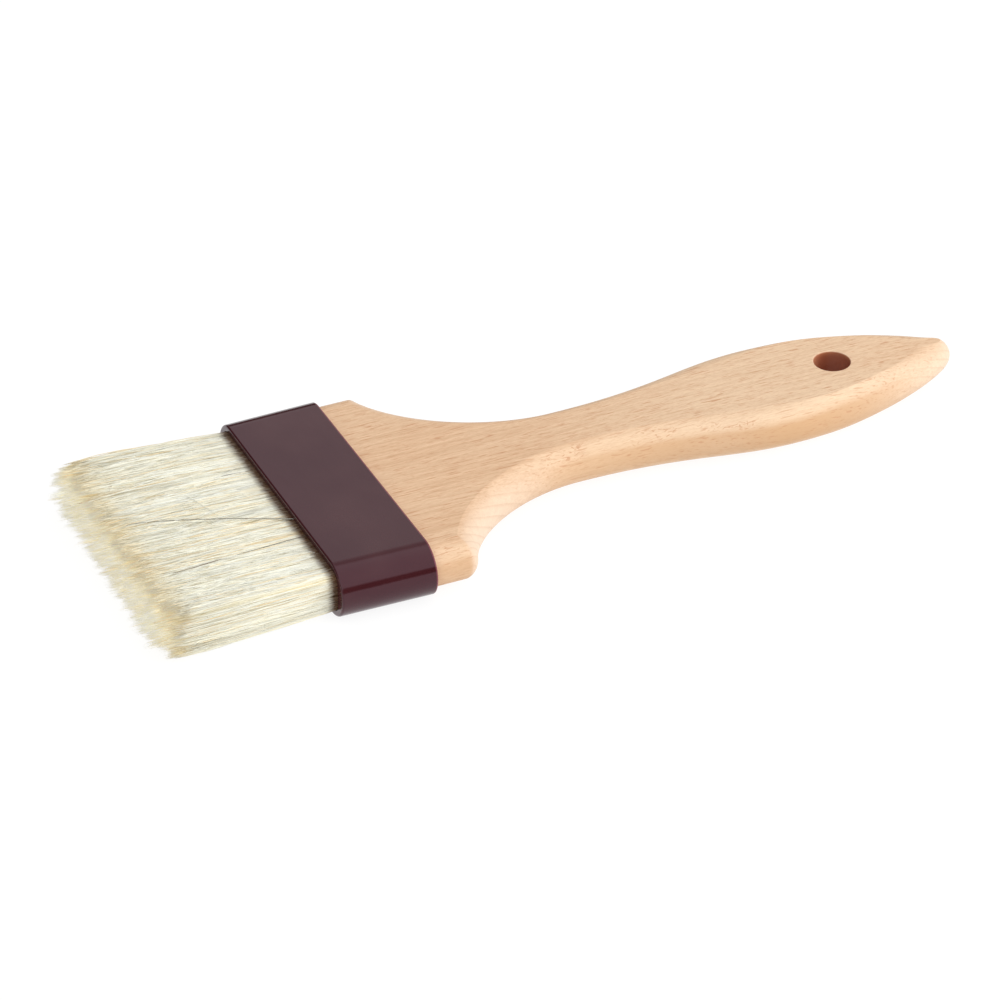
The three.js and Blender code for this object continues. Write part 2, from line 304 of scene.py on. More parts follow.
WOOD_LIGHT = (0.80, 0.55, 0.355, 1)
WOOD_DEEP = (0.71, 0.462, 0.285, 1)
WOOD_GOLD = (0.83, 0.63, 0.435, 1)
WOOD_BROWN = (0.52, 0.30, 0.165, 1)
# WOOD_SIDE darkens the handle's low sides: partly the wood's tone there, partly painted shade.
WOOD_SIDE = (0.62, 0.375, 0.20, 1)
# WOOD_END is partly the paler tone of end grain and partly painted light and sheen.
WOOD_END = (0.79, 0.635, 0.50, 1)
WOOD_RAY = (0.50, 0.205, 0.09, 1)
# The hanging hole's wall: painted dark red-brown near its rims, and painted shade deeper in.
WOOD_BORE = (0.25, 0.052, 0.02, 1)
WOOD_BORE_RIM = (0.44, 0.15, 0.062, 1)

OXBLOOD_DEEP = (0.044, 0.0085, 0.0105, 1)
OXBLOOD_LIGHT = (0.054, 0.0112, 0.0135, 1)
OXBLOOD_SPECK = (0.085, 0.028, 0.03, 1)
# A painted highlight: a lighter pink line along the ferrule's back edge.
OXBLOOD_EDGE_HIGHLIGHT = (0.30, 0.085, 0.10, 1)

# The grip is paler wood than the block and than the tip. It changes over these stretches.
PALER_X = (45, 125)
TIP_TONE_X = (135, 165)

# The board was sawn so that its yearly rings run at this angle through the handle's section.
RAY_TURN = (math.radians(49), 0, 0)

RING_WIDTH = 2.2

# The direction that faces the flat of the wood's rays, which show there as curly flecks.
FLECK_FACING = (0.0, -0.66, 0.75)


def dashes(shader, grain, size, low, high, detail=0.5):
    """Short strokes along the grain: 1 inside a stroke. size is a stroke's length, width and
    depth in millimetres. Raising low and high leaves fewer of them."""
    return shader.step(shader.noise(shader.stretched(grain, size), detail=detail), low, high)


def product(shader, *factors):
    result = factors[0]
    for factor in factors[1:]:
        result = shader.math("MULTIPLY", result, factor)
    return result


def wood_facing(s):
    """How far the surface is turned to the side, to the end grain and to the flat of the rays."""
    normal = s.node("ShaderNodeTexCoord").outputs["Normal"]
    facing = s.node("ShaderNodeSeparateXYZ", {"Vector": normal})
    along = s.math("ABSOLUTE", facing.outputs["X"])
    upright = s.math("ABSOLUTE", facing.outputs["Z"])
    side = s.step(upright, 0.995, 0.955)
    end_grain = s.math("MULTIPLY", s.step(along, 0.02, 0.75), side)
    low_side = s.math("MULTIPLY", s.step(upright, 0.85, 0.35), s.step(end_grain, 0.5, 0.1))
    towards = s.vector_math("DOT_PRODUCT", normal, FLECK_FACING)["Value"]
    flat_of_ray = s.step(s.math("ABSOLUTE", towards), 0.9, 0.985)
    return side, end_grain, low_side, product(s, flat_of_ray, s.step(end_grain, 0.35, 0.1))


def growth_rings(s, grain):
    """Thin dark lines where the wood's yearly rings come out at the end grain."""
    across = s.node("ShaderNodeSeparateXYZ", {"Vector": grain}).outputs["Z"]
    wander = s.noise(s.stretched(grain, (110, 18, 12)), detail=1.0)
    age = s.math("ADD", s.math("DIVIDE", across, RING_WIDTH), s.math("MULTIPLY", wander, 1.6))
    ring = s.math("FRACT", age)
    return s.math("MULTIPLY", s.step(ring, 0.62, 0.97), s.step(ring, 1.0, 0.98))


def wavy_grain(s, mm):
    """Millimetres bent a little, slowly and finely, so that the grain isn't dead straight."""
    drift = s.noise_vector(s.stretched(mm, (60, 18, 18)), detail=1.0)
    ripple = s.noise_vector(s.stretched(mm, (3.2, 2.0, 2.0)), detail=2.0)
    return s.offset(s.offset(mm, drift, (6.0, 3.0, 3.0)), ripple, (1.0, 0.3, 0.3))


def board_tone(s, mm, grain, grip):
    """The wood's ground colour: soft streaks and clouds, paler along the grip."""
    streak = s.noise(s.stretched(grain, (80, 1.3, 1.6)), detail=3.0)
    cloud = s.noise(s.stretched(mm, (50, 12, 12)), detail=1.0)
    base = s.mix(s.step(streak, 0.28, 0.72), WOOD_DEEP, WOOD_LIGHT)
    base = s.mix(s.step(cloud, 0.35, 0.7, 0.0, 0.25), base, WOOD_GOLD)
    paler = product(s, grip, s.step(s.from_mouth(mm), *TIP_TONE_X, 0.6, 0.35))
    return s.mix(paler, base, WOOD_GOLD)


def end_grain_tone(s, base, turned, end_grain):
    """Adds the paler end grain, partly its own tone and partly painted light and sheen, its yearly
    rings and its fine spokes.
    """
    spoke = s.noise(s.stretched(turned, (1.1, 0.24, 7)), detail=2.0)
    base = s.mix(s.math("MULTIPLY", end_grain, 0.72), base, WOOD_END)
    rings = product(s, growth_rings(s, turned), s.step(end_grain, 0.0, 0.8, 0.04, 0.24))
    base = s.mix(rings, base, WOOD_BROWN)
    return s.mix(product(s, s.step(spoke, 0.5, 0.75), end_grain, 0.16), base, WOOD_BROWN)


def curly_flecks(s, mm, grain, flat_of_ray):
    """Short curled flecks, in patches, where the surface faces the flat of the rays."""
    swirl = s.noise_vector(s.stretched(mm, (2.4, 1.6, 1.6)), detail=1.0)
    curled = s.offset(grain, swirl, (3.0, 2.6, 2.6))
    fleck = dashes(s, curled, (2.1, 0.45, 0.45), 0.60, 0.70)
    patch = s.step(s.noise(s.stretched(mm, (14, 6, 6)), detail=1.0), 0.44, 0.60)
    return product(s, fleck, flat_of_ray, patch, 0.55)


def beech():
    s = Shader("beech")
    mm = s.millimetres()
    grain = wavy_grain(s, mm)
    turned = s.node("ShaderNodeMapping", {"Vector": grain, "Rotation": RAY_TURN}).outputs[0]
    side, end_grain, low_side, flat_of_ray = wood_facing(s)
    bold = dashes(s, grain, (4.4, 0.32, 0.4), 0.62, 0.74)
    fine = dashes(s, grain, (2.2, 0.22, 0.3), 0.54, 0.70, detail=1.5)
    fibre = s.noise(s.stretched(grain, (14, 0.5, 0.5)), detail=3.0, rough=0.65)
    pore = s.noise(s.stretched(grain, (1.3, 0.26, 0.3)), detail=2.0, rough=0.7)

    grip = s.step(s.from_mouth(mm), *PALER_X)
    base = board_tone(s, mm, grain, grip)
    base = s.mix(s.step(fibre, 0.38, 0.74, 0.0, 0.34), base, WOOD_BROWN)
    base = s.mix(s.step(pore, 0.42, 0.72, 0.0, 0.26), base, WOOD_BROWN)
    # Painted shade, with the wood's own tone, on the handle's low sides.
    base = s.mix(product(s, low_side, s.step(grip, 0.0, 1.0, 0.4, 0.95)), base, WOOD_SIDE)
    base = s.mix(s.math("MULTIPLY", flat_of_ray, 0.3), base, WOOD_GOLD)
    base = end_grain_tone(s, base, turned, end_grain)
    calm = product(s, s.step(end_grain, 0.1, 0.7, 1.0, 0.12), s.step(side, 0.0, 1.0, 1.0, 0.65))
    base = s.mix(product(s, bold, calm, 0.62), base, WOOD_RAY)
    base = s.mix(product(s, fine, calm, 0.30), base, WOOD_RAY)
    base = s.mix(curly_flecks(s, mm, grain, flat_of_ray), base, WOOD_RAY)
    # The hanging hole's wall is painted dark, and painted shade makes it darkest deep inside.
    in_bore, deep_shade = bore_masks(s, mm)
    bore_tone = s.mix(deep_shade, WOOD_BORE_RIM, WOOD_BORE)
    base = s.mix(s.math("MULTIPLY", in_bore, 0.93), base, bore_tone)

    height = s.math("SUBTRACT", s.math("MULTIPLY", fibre, 0.5), s.math("MAXIMUM", bold, fine))
    s.set(
        Base_Color=base,
        Roughness=s.step(fibre, 0.2, 0.8, 0.5, 0.66),
        Normal=s.bump(height, 0.22, 0.08),
        Specular_IOR_Level=0.3,
    )
    return s.material


def bore_masks(shader, mm):
    """1 on the wall of the hanging hole, which is painted dark red-brown, and 1 where it is painted
    darkest, as shade deep in the hole, away from its rims and on the side nearer the tip."""
    centre = place([HANG_HOLE_X, 0, 0]) / MM
    apart = shader.vector_math("SUBTRACT", mm, tuple(centre))[0]
    flat = shader.vector_math("MULTIPLY", apart, (1, 1, 0))[0]
    reach = shader.vector_math("LENGTH", flat)["Value"]
    parts = shader.node("ShaderNodeSeparateXYZ", {"Vector": apart}).outputs
    deep_shade = shader.step(shader.math("ABSOLUTE", parts["Z"]), HANDLE_HALF + 0.6, HANDLE_HALF - 1.6)
    tip_side = shader.step(parts["X"], -HANG_HOLE_RADIUS, 0.0)
    in_bore = shader.step(reach, HANG_HOLE_RADIUS + 0.25, HANG_HOLE_RADIUS + 0.02)
    return in_bore, product(shader, deep_shade, tip_side)


def oxblood_plastic():
    s = Shader("oxblood_plastic")
    mm = s.millimetres()
    cloud = s.noise(s.stretched(mm, (18, 22, 9)), detail=2.0)
    sink = s.noise(s.stretched(mm, (2.6, 9, 7)), detail=2.0)
    speck = s.noise(s.stretched(mm, (0.4, 0.4, 0.4)), detail=2.0)
    scuff = s.noise(s.stretched(mm, (0.16, 7, 3)), detail=3.0, rough=0.7)
    base = s.mix(s.step(cloud, 0.3, 0.7), OXBLOOD_DEEP, OXBLOOD_LIGHT)
    base = s.mix(s.step(speck, 0.62, 0.85, 0.0, 0.2), base, OXBLOOD_SPECK)
    # Painted highlight along the ferrule's rounded back edge.
    back_edge_highlight = s.step(s.from_mouth(mm), FERRULE_LENGTH - 0.5, FERRULE_LENGTH - 0.25)
    base = s.mix(s.math("MULTIPLY", back_edge_highlight, 0.6), base, OXBLOOD_EDGE_HIGHLIGHT)
    scuffs = s.step(scuff, 0.62, 0.8, 0.0, 0.06)
    s.set(
        Base_Color=base,
        Roughness=s.math("ADD", s.step(cloud, 0.2, 0.8, 0.12, 0.16), scuffs),
        Normal=s.bump(s.math("ADD", sink, cloud), 0.28, 0.14),
        IOR=1.5,
        Specular_Tint=s.mix(s.step(cloud, 0.3, 0.7), (0.88, 0.70, 0.84, 1), (1.0, 0.86, 0.96, 1)),
    )
    return s.material


def cast_epoxy():
    s = Shader("epoxy")
    mm = s.millimetres()
    cloud = s.noise(s.stretched(mm, (2.5, 4, 2)), detail=3.0)
    base = s.mix(s.step(cloud, 0.3, 0.7), (0.20, 0.115, 0.045, 1), (0.33, 0.21, 0.095, 1))
    s.set(Base_Color=base, Roughness=s.step(cloud, 0.2, 0.8, 0.22, 0.42), Normal=s.bump(cloud, 0.4, 0.3))
    return s.material


def sawn_strip():
    s = Shader("filler_wood")
    mm = s.millimetres()
    saw = s.noise(s.stretched(mm, (0.3, 12, 0.3)), detail=3.0, rough=0.65)
    base = s.mix(s.step(saw, 0.3, 0.7), (0.42, 0.27, 0.15, 1), (0.60, 0.42, 0.26, 1))
    s.set(Base_Color=base, Roughness=s.step(saw, 0.2, 0.8, 0.7, 0.9), Normal=s.bump(saw, 0.5, 0.2))
    return s.material


def boar_bristle():
    s = Shader("bristle")
    hair = s.node("ShaderNodeAttribute", attribute_name="hair_colour").outputs
    mm = s.millimetres()
    patch = s.noise(s.stretched(mm, (3.5, 0.4, 0.4)), detail=2.0)
    yellowed = s.step(patch, 0.35, 0.75, 0.0, 0.5)
    base = s.mix(yellowed, hair["Color"], (0.93, 0.87, 0.74, 1), "MULTIPLY")
    s.set(Base_Color=base, Roughness=s.step(patch, 0.2, 0.8, 0.34, 0.5), Specular_IOR_Level=0.42)
    # The attribute's alpha is a painted glow, for light that reaches each hair through its neighbours.
    s.set(Emission_Color=base, Emission_Strength=hair["Alpha"])
    return s.material


def studio_floor():
    """White and a little self-lit, like a light table, so that shadows stay faint."""
    s = Shader("studio_floor")
    mm = s.millimetres()
    tone = s.noise(s.stretched(mm, (400, 400, 400)), detail=1.0)
    s.set(Base_Color=s.mix(tone, (0.14, 0.14, 0.14, 1), (0.16, 0.16, 0.16, 1)), Roughness=0.9)
    s.set(Emission_Color=(1, 1, 1, 1), Emission_Strength=FLOOR_GLOW, Specular_IOR_Level=0.05)
    return s.material


# ---- Handle -----------------------------------------------------------------------------------


def bezier(start, control_a, control_b, end):
    t = np.linspace(0, 1, 220)[:, None]
    a, b, c, d = (np.array(p, float) for p in (start, control_a, control_b, end))
    return (1 - t) ** 3 * a + 3 * (1 - t) ** 2 * t * b + 3 * (1 - t) * t**2 * c + t**3 * d


def handle_outline():
    """Half of the plan view: the block's side, its rounded corner, then three smooth curves."""
    centre_x = SHOULDER_X - CORNER_RADIUS * math.cos(SHOULDER_LEAN)
    centre = np.array([centre_x, BLOCK_HALF - CORNER_RADIUS])
    side = np.stack([np.linspace(BLOCK_FRONT_X, centre[0], 60), np.full(60, BLOCK_HALF)], 1)
    turn = np.linspace(math.pi / 2, SHOULDER_LEAN, 40)
    corner = centre + CORNER_RADIUS * np.stack([np.cos(turn), np.sin(turn)], 1)
    shoulder = corner[-1]
    lean = np.array([math.sin(SHOULDER_LEAN), -math.cos(SHOULDER_LEAN)])
    neck = np.array([NECK["x"], NECK["half"]])
    belly = np.array([BELLY["x"], BELLY["half"]])
    along = np.array([1, 0])
    tip = np.array([HANDLE_TIP_X, 0])
    cove = bezier(shoulder, shoulder + SHOULDER_REACH * lean, neck - NECK["to_shoulder"] * along, neck)
    grip = bezier(neck, neck + NECK["to_belly"] * along, belly - BELLY["to_neck"] * along, belly)
    nose = bezier(belly, belly + BELLY["to_tip"] * along, (HANDLE_TIP_X, NOSE_REACH), tip)
    return np.concatenate([side, corner[1:], cove[1:], grip[1:], nose[1:]])


def edge_inset(x):
    """How far in from the outline the rounded side ends on the handle's flat face."""
    places, insets = (np.array(v, float) for v in zip(*EDGE_INSETS))
    x = np.clip(x, places[0], places[-1])
    k = np.clip(np.searchsorted(places, x, "right") - 1, 0, len(places) - 2)
    share = (x - places[k]) / (places[k + 1] - places[k])
    share = share * share * (3 - 2 * share)
    return insets[k] + (insets[k + 1] - insets[k]) * share


def spaced(points, count):
    """The line through the points, as count points at equal distances."""
    reach = np.concatenate([[0], np.cumsum(np.linalg.norm(np.diff(points, axis=0), axis=1))])
    wanted = np.linspace(0, reach[-1], count)
    return np.stack([np.interp(wanted, reach, points[:, k]) for k in range(2)], 1)


def outline_at(outline, z, extra, count):
    """The half outline at height z, moved extra millimetres further in, as count points."""
    depth = edge_inset(outline[:, 0])
    radius = (HANDLE_HALF**2 + depth**2) / (2 * depth)
    inset = radius - np.sqrt(radius**2 - z * z) + extra
    along = np.gradient(outline, axis=0)
    along /= np.linalg.norm(along, axis=1)[:, None]
    moved = outline + np.stack([along[:, 1], -along[:, 0]], 1) * inset[:, None]
    nearest = np.sqrt(((moved[:, None] - outline[None]) ** 2).sum(2)).min(1)
    moved = moved[(nearest >= inset - 0.015) & (moved[:, 1] >= 0)]
    block_side = BLOCK_HALF - HANDLE_HALF + math.sqrt(max(HANDLE_HALF**2 - z * z, 0)) - extra
    moved[:, 1] = np.minimum(moved[:, 1], block_side)
    before, last = moved[-2], moved[-1]
    slope = min((last[0] - before[0]) / max(before[1] - last[1], 1e-6), 1)
    moved = np.concatenate([moved, [[last[0] + slope * last[1], 0]]])
    moved[0, 0] = BLOCK_FRONT_X
    points = spaced(moved, count)
    points[-1, 1] = 0
    return points


def handle_mesh():
    """Rings of the rounded side from face to face, mirrored, and joined across both faces."""
    outline = handle_outline()
    count = 420
    rings = [(-HANDLE_HALF, FACE_INSET)]
    for angle in np.linspace(-SIDE_STEEPEST, SIDE_STEEPEST, 35):
        rings.append((HANDLE_HALF * math.sin(angle) / math.sin(SIDE_STEEPEST), 0.0))
    rings.append((HANDLE_HALF, FACE_INSET))
    side = []
    for z, extra in rings:
        flat = outline_at(outline, z, extra, count)
        share = np.clip((flat[:, 0] - THINNING_FROM_X) / (HANDLE_TIP_X - THINNING_FROM_X), 0, 1)
        height = z * (1 - TIP_THINNING * share**2)
        side.append(np.column_stack([flat, height]))
    right = np.array(side).transpose(1, 0, 2)
    left = right[:, ::-1] * np.array([1, -1, 1])
    loops = np.concatenate([right, left], 1)
    points = loops.reshape(-1, 3)
    faces = grid_faces(count, loops.shape[1], wrap=True)
    faces.append(tuple(range(loops.shape[1])))
    mesh = mesh_of("handle_beech", points, faces)
    clean(mesh)
    return mesh


def lathe_about_z(name, profile, centre_x):
    """A closed turned solid: profile is (radius, z) from bottom to top."""
    steps = 128
    turn = np.linspace(0, 2 * math.pi, steps, endpoint=False)
    points = []
    for radius, z in profile:
        points += [(centre_x + radius * math.cos(t), radius * math.sin(t), z) for t in turn]
    faces = grid_faces(len(profile), steps, wrap=True)
    faces.append(tuple(range(steps)))
    faces.append(tuple(range((len(profile) - 1) * steps, len(profile) * steps)))
    mesh = mesh_of(name, points, faces)
    clean(mesh)
    return mesh


def hole_cutter():
    """The solid that cuts the hanging hole and rounds its two rims."""
    turn = np.linspace(math.radians(268), math.pi, 7)
    out, up = HANG_HOLE_RADIUS + HOLE_EDGE, HOLE_EDGE - HANDLE_HALF
    edge = [(out + HOLE_EDGE * math.cos(t), up + HOLE_EDGE * math.sin(t)) for t in turn]
    low = [(out + 0.1, -HANDLE_HALF - 1)] + edge
    high = [(radius, -z) for radius, z in reversed(low)]
    mesh = lathe_about_z("hole_cutter", low + high, HANG_HOLE_X)
    cutter = bpy.data.objects.new("hole_cutter", mesh)
    bpy.context.scene.collection.objects.link(cutter)
    return cutter


def make_handle(material):
    handle = add_object("handle_beech", handle_mesh(), material)
    cutter = hole_cutter()
    modifier = handle.modifiers.new("hole", "BOOLEAN")
    modifier.operation = "DIFFERENCE"
    modifier.solver = "EXACT"
    modifier.object = cutter
    apply_modifiers(handle)
    bpy.data.objects.remove(cutter)
    smooth(handle.data, 40)
    sharpen_face_rim(handle.data)
    weight_normals(handle)
    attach(handle, ROOT_BODY)
    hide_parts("handle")


# ---- Round-ended sections -----------------------------------------------------------------------


def round_ended_ring(centre_half, radius):
    """(y, z) points round a section with flat faces and full-round ends, anticlockwise."""
    right = np.linspace(-math.pi / 2, math.pi / 2, ARC_STEPS + 1)
    ends = [(centre_half + radius * math.cos(t), radius * math.sin(t)) for t in right]
    across = np.linspace(centre_half, -centre_half, FLAT_STEPS + 1)[1:-1]
    top = [(y, radius) for y in across]
    half = ends + top
    return half + [(-y, -z) for y, z in half]


def ferrule_centre_half(x):
    mouth = FERRULE_MOUTH_HALF - FERRULE_RADIUS
    back = FERRULE_BACK_HALF - FERRULE_RADIUS
    return mouth + (back - mouth) * x / FERRULE_LENGTH


def rounded_corner(x, radius_at, edge, start):
    """A quarter turn of radius edge about (x, radius_at), from start degrees."""
    steps = 7
    turn = np.radians(np.linspace(start, start + 90, steps + 1))
    return [(x + edge * math.cos(t), radius_at + edge * math.sin(t)) for t in turn]


def outer_profile():
    """The outside of the wall, from the inner edge of its back end to the front of its mouth,
    as (x, distance from the core line), with rounded edges."""
    back, out = INNER_EDGE, OUTER_EDGE
    corners = rounded_corner(FERRULE_LENGTH - back, FERRULE_RADIUS - back, back, 0)
    corners += [(x, FERRULE_RADIUS) for x in np.linspace(FERRULE_LENGTH - back, out, 9)[1:-1]]
    return corners + rounded_corner(out, FERRULE_RADIUS - out, out, 90)


def cavity_profile():
    """The inside of the wall, from behind the lip to its back end."""
    inner = FERRULE_RADIUS - FERRULE_WALL
    edge = INNER_EDGE
    corners = [(x, inner) for x in np.linspace(LIP_LENGTH, FERRULE_LENGTH - edge, 8)[:-1]]
    return corners + rounded_corner(FERRULE_LENGTH - edge, inner + edge, edge, 270)


def slot_ring(widen):
    """(y, z) points round the slot, moved out by widen, in step with round_ended_ring."""
    radius = SLOT_CORNER + widen
    across = SLOT_HALF_WIDTH - SLOT_CORNER
    up = SLOT_HALF_THICKNESS - SLOT_CORNER
    right = np.linspace(-math.pi / 2, math.pi / 2, ARC_STEPS + 1)
    ends = [(across + radius * math.cos(t), np.sign(t) * up + radius * math.sin(t)) for t in right]
    top = [(y, up + radius) for y in np.linspace(across, -across, FLAT_STEPS + 1)[1:-1]]
    half = ends + top
    return half + [(-y, -z) for y, z in half]


def ferrule_rings():
    rings = []
    for x, reach in outer_profile():
        rings.append([(x, y, z) for y, z in round_ended_ring(ferrule_centre_half(x), reach)])
    for x, widen in rounded_corner(INNER_EDGE, INNER_EDGE, INNER_EDGE, 180) + [(LIP_LENGTH, 0)]:
        rings.append([(x, y, z) for y, z in slot_ring(widen)])
    for x, reach in cavity_profile():
        rings.append([(x, y, z) for y, z in round_ended_ring(ferrule_centre_half(x), reach)])
    rings.append(rings[0])
    return rings


def make_ferrule(material):
    rings = ferrule_rings()
    columns = len(rings[0])
    points = [p for ring in rings for p in ring]
    mesh = mesh_of("ferrule_sleeve", points, grid_faces(len(rings), columns, wrap=True))
    clean(mesh)
    smooth(mesh, 50)
    ferrule = add_object("ferrule_sleeve", mesh, material)
    weight_normals(ferrule)
    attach(ferrule, ROOT_BODY)
    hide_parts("ferrule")


# ---- What holds the bristles ------------------------------------------------------------------

ROOTS_GAP = 0.3


def epoxy_rings():
    """The cup's rings from its back end, over its outside, to the hollow that the roots fill.
    Each is at some x and some share of the way out from the hollow's wall to the outside."""
    low, high = ((corner - MOUTH) / MM for corner in (SET_LOW, SET_HIGH))
    front, back, radius = low.x, high.x, high.z
    centre_half = high.y - radius
    hollow_radius = (ROOTS_HIGH.z - MOUTH.z) / MM + ROOTS_GAP
    hollow_centre_half = ROOTS_HIGH.y / MM + ROOTS_GAP - hollow_radius
    profile = [
        (back, 0.4), (back, 1.0), (back - 0.4, 1.0), (front + 1.2, 1.0),
        (front + 0.1, 1.0), (front + 0.45, 0.5), (front + 0.9, 0.0), (back - 1.0, 0.0),
    ]
    rings = []
    for x, share in profile:
        r = hollow_radius + (radius - hollow_radius) * share
        c = hollow_centre_half + (centre_half - hollow_centre_half) * share
        rings.append([(x, y, z) for y, z in round_ended_ring(c, r)])
    return rings


def make_epoxy_set(material):
    rings = epoxy_rings()
    columns = len(rings[0])
    points = [p for ring in rings for p in ring]
    faces = grid_faces(len(rings), columns, wrap=True)
    faces.append(tuple(range(columns)))
    faces.append(tuple(range((len(rings) - 1) * columns, len(rings) * columns)))
    mesh = mesh_of("epoxy_fill", points, faces)
    clean(mesh)
    smooth(mesh, 40)
    fill = add_object("epoxy_fill", mesh, material)
    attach(fill, ROOT_BODY)
    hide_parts("epoxy_set")


def finish_filler(material):
    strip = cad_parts["filler_strip"]
    strip.data.materials.clear()
    strip.data.materials.append(material)


# ---- Bristles -----------------------------------------------------------------------------------

HAIRS_PER_BANK = 5800
TUFTS_PER_BANK = 330
HAIR_STEPS = 13
HAIR_SIDES = 3
PIECES_PER_BANK = 3

# The first four points of each hair: its root, then three close together by the mouth, where
# its painted shade from the ferrule's lip ends.
NEAR_MOUTH_X = [ROOT_BACK_X - 0.2, 0.8, -0.8, -2.4]

HAIR_RADIUS = 0.113
LOOSE_HAIR_RADIUS = 0.08

# How far a tuft draws its hairs together at their tips, across and up, as a share, and the
# width and height, in millimetres, that the tufts share out.
PULL_ACROSS = 0.84
PULL_UP = 0.6
TUFTED_HALF_WIDTH = 35
TUFTED_HEIGHT = 5.5

# How much shorter the top hairs are, the hairs between tufts, and those at either edge.
TOP_SHORTER = 2.6
BETWEEN_TUFTS_SHORTER = 1.7
NEAR_EDGE_SHORTER = 3.2
FAR_EDGE_SHORTER = 1.2
LONGEST_PAST_TIP = 2.2

# How far hairs fan out sideways towards their tips, the strays' part of it, and their waves.
FAN = 1.5
STRAY_FAN = 3.4
WAVE_LENGTHS = (11, 30)
WAVE_ACROSS = 0.34
WAVE_UP = 0.2

SHARE_AT_SURFACE = 0.3
SHARE_AT_EDGE = 0.07
SHARE_OF_STRAYS = 0.09
SHARE_OF_DARK = 0.0004

# How strongly the hairs glow along their length, inside the pack and at their tips, as painted
# glow, and how far the upper tips turn to tan, as painted warm shade where the pack's top ends.
HAIR_GLOW = 0.07
INNER_GLOW = 0.10
TIP_GLOW = 0.25
TIP_WARMTH = 0.36

# Half width and half thickness of the pack at places along the hairs, and half the parting
# that the filler strip leaves between the banks.
PACK_X = [BRISTLE_TIP_X, -38, -20, -5, 0, 4, 12]
PACK_HALF_WIDTH = [35.9, 35.7, 35.3, 35.0, 34.75, 34.5, 33.2]
PACK_HALF_THICKNESS = [5.8, 5.8, 5.6, 5.35, 5.05, 4.9, 4.3]
PACK_CORNER = 2.6
PARTING_HALF = [0, 0, 0, 0, 0.35, 0.9, 1.15]

PALE = np.array([0.90, 0.905, 0.825])
CREAM = np.array([0.90, 0.885, 0.76])
TAN = np.array([0.86, 0.735, 0.50])
# A painted golden shade for the hairs inside the pack.
INNER_SHADE_TINT = np.array([0.97, 0.90, 0.735])
# Painted shade: the dark brown the hairs take beside the ferrule's mouth, for the shadow under its lip.
MOUTH_SHADE = np.array([0.13, 0.068, 0.04])
DARK = np.array([0.06, 0.038, 0.024])

# Two locks of the upper bank lie apart along a line: its y at the mouth and at the tips, and how
# wide the gap's reach is.
LOCK_GAP_Y = (-8.4, 5.4)
LOCK_GAP_REACH = 1.4

# Where the random draws of each bank start.
UPPER_SEED = 11
LOWER_SEED = 23

# Single hairs that lie on top of the upper bank: points along each in (x, y), and its colour.
LOOSE_HAIRS = [
    ([(2, -9.4), (-8, -5.4), (-24, 0.8), (-38, 4.2)], DARK),
    ([(3, -9.8), (-12, -4.4), (-26, 0.2), (-36, 2.2)], PALE),
    ([(3, -16.4), (-3, -16.8), (-10.5, -17.4), (-18, -17.6)], DARK),
    ([(-21, -17.9), (-25, -18.4), (-30, -18.8), (-34, -18.9)], DARK * 3),
    ([(-19, 9.2), (-18.2, 7.6), (-16.6, 2.6), (-15.2, -1.2)], PALE),
    ([(-4, 17), (-15, 13), (-26, 12), (-37, 8)], PALE),
    ([(0, -24), (-12, -21.4), (-27, -23), (-41, -19)], PALE),
    ([(-9, 27), (-20, 25.8), (-31, 22), (-43, 21.4)], CREAM),
]


def pack_width(x):
    return np.interp(x, PACK_X, PACK_HALF_WIDTH)


def pack_thickness(x):
    return np.interp(x, PACK_X, PACK_HALF_THICKNESS)


def smoothstep(low, high, value):
    t = np.clip((value - low) / (high - low), 0, 1)
    return t * t * (3 - 2 * t)


def held_below(value, limit):
    """Values past the limit come back to it, all but a share of the excess."""
    slack = 0.15
    return np.where(value > limit, limit + (value - limit) * slack, value)


def hair_places(rng, count):
    """Places in the section: a across, from -1 to 1, and b up through the bank, from 0 to 1."""
    a = rng.uniform(-1, 1, count)
    b = rng.uniform(0, 1, count)
    surface = rng.random(count) < SHARE_AT_SURFACE
    b[surface] = 1 - 0.12 * rng.random(surface.sum())
    edge = rng.random(count) < SHARE_AT_EDGE
    a[edge] = np.sign(a[edge]) * (1 - 0.012 * rng.random(edge.sum()))
    return a, b


def hair_tips(rng, a, b, tuft, off_centre):
    """How far out each hair reaches: rounded off by height, ragged, and short at both edges."""
    count = len(a)
    ragged = rng.normal(0, 0.95, TUFTS_PER_BANK)[tuft]
    tip_x = BRISTLE_TIP_X + 0.2 + TOP_SHORTER * b**2.5 + ragged
    tip_x += BETWEEN_TUFTS_SHORTER * np.minimum(off_centre, 1.5) ** 1.5 + rng.normal(0, 0.35, count)
    tip_x += np.where(rng.random(count) < 0.25, rng.exponential(2.5, count), 0)
    tip_x = np.maximum(tip_x, BRISTLE_TIP_X - LONGEST_PAST_TIP)
    near, far = smoothstep(0.86, 1.02, -a), smoothstep(0.86, 1.02, a)
    return tip_x + (NEAR_EDGE_SHORTER * near + FAR_EDGE_SHORTER * far)


def hair_stations(start_shift, tip_x):
    """The x of every point of every hair: four near the mouth, the rest out to its tip."""
    start = np.tile(NEAR_MOUTH_X, (len(tip_x), 1))
    start[:, -2:] += start_shift
    share = np.linspace(0, 1, HAIR_STEPS - len(NEAR_MOUTH_X) + 1)[1:] ** 0.8
    return np.hstack([start, start[:, -1:] + (tip_x[:, None] - start[:, -1:]) * share])


def section_at(x, b):
    """The bank's half thickness and half parting, and each hair's height and reach sideways."""
    thick = pack_thickness(x)
    parting = np.interp(x, PACK_X, PARTING_HALF)
    z = parting + b[:, None] * (thick - parting)
    into_corner = np.clip(z - (thick - PACK_CORNER), 0, PACK_CORNER)
    reach = pack_width(x) - PACK_CORNER + np.sqrt(PACK_CORNER**2 - into_corner**2)
    return thick, parting, z, reach


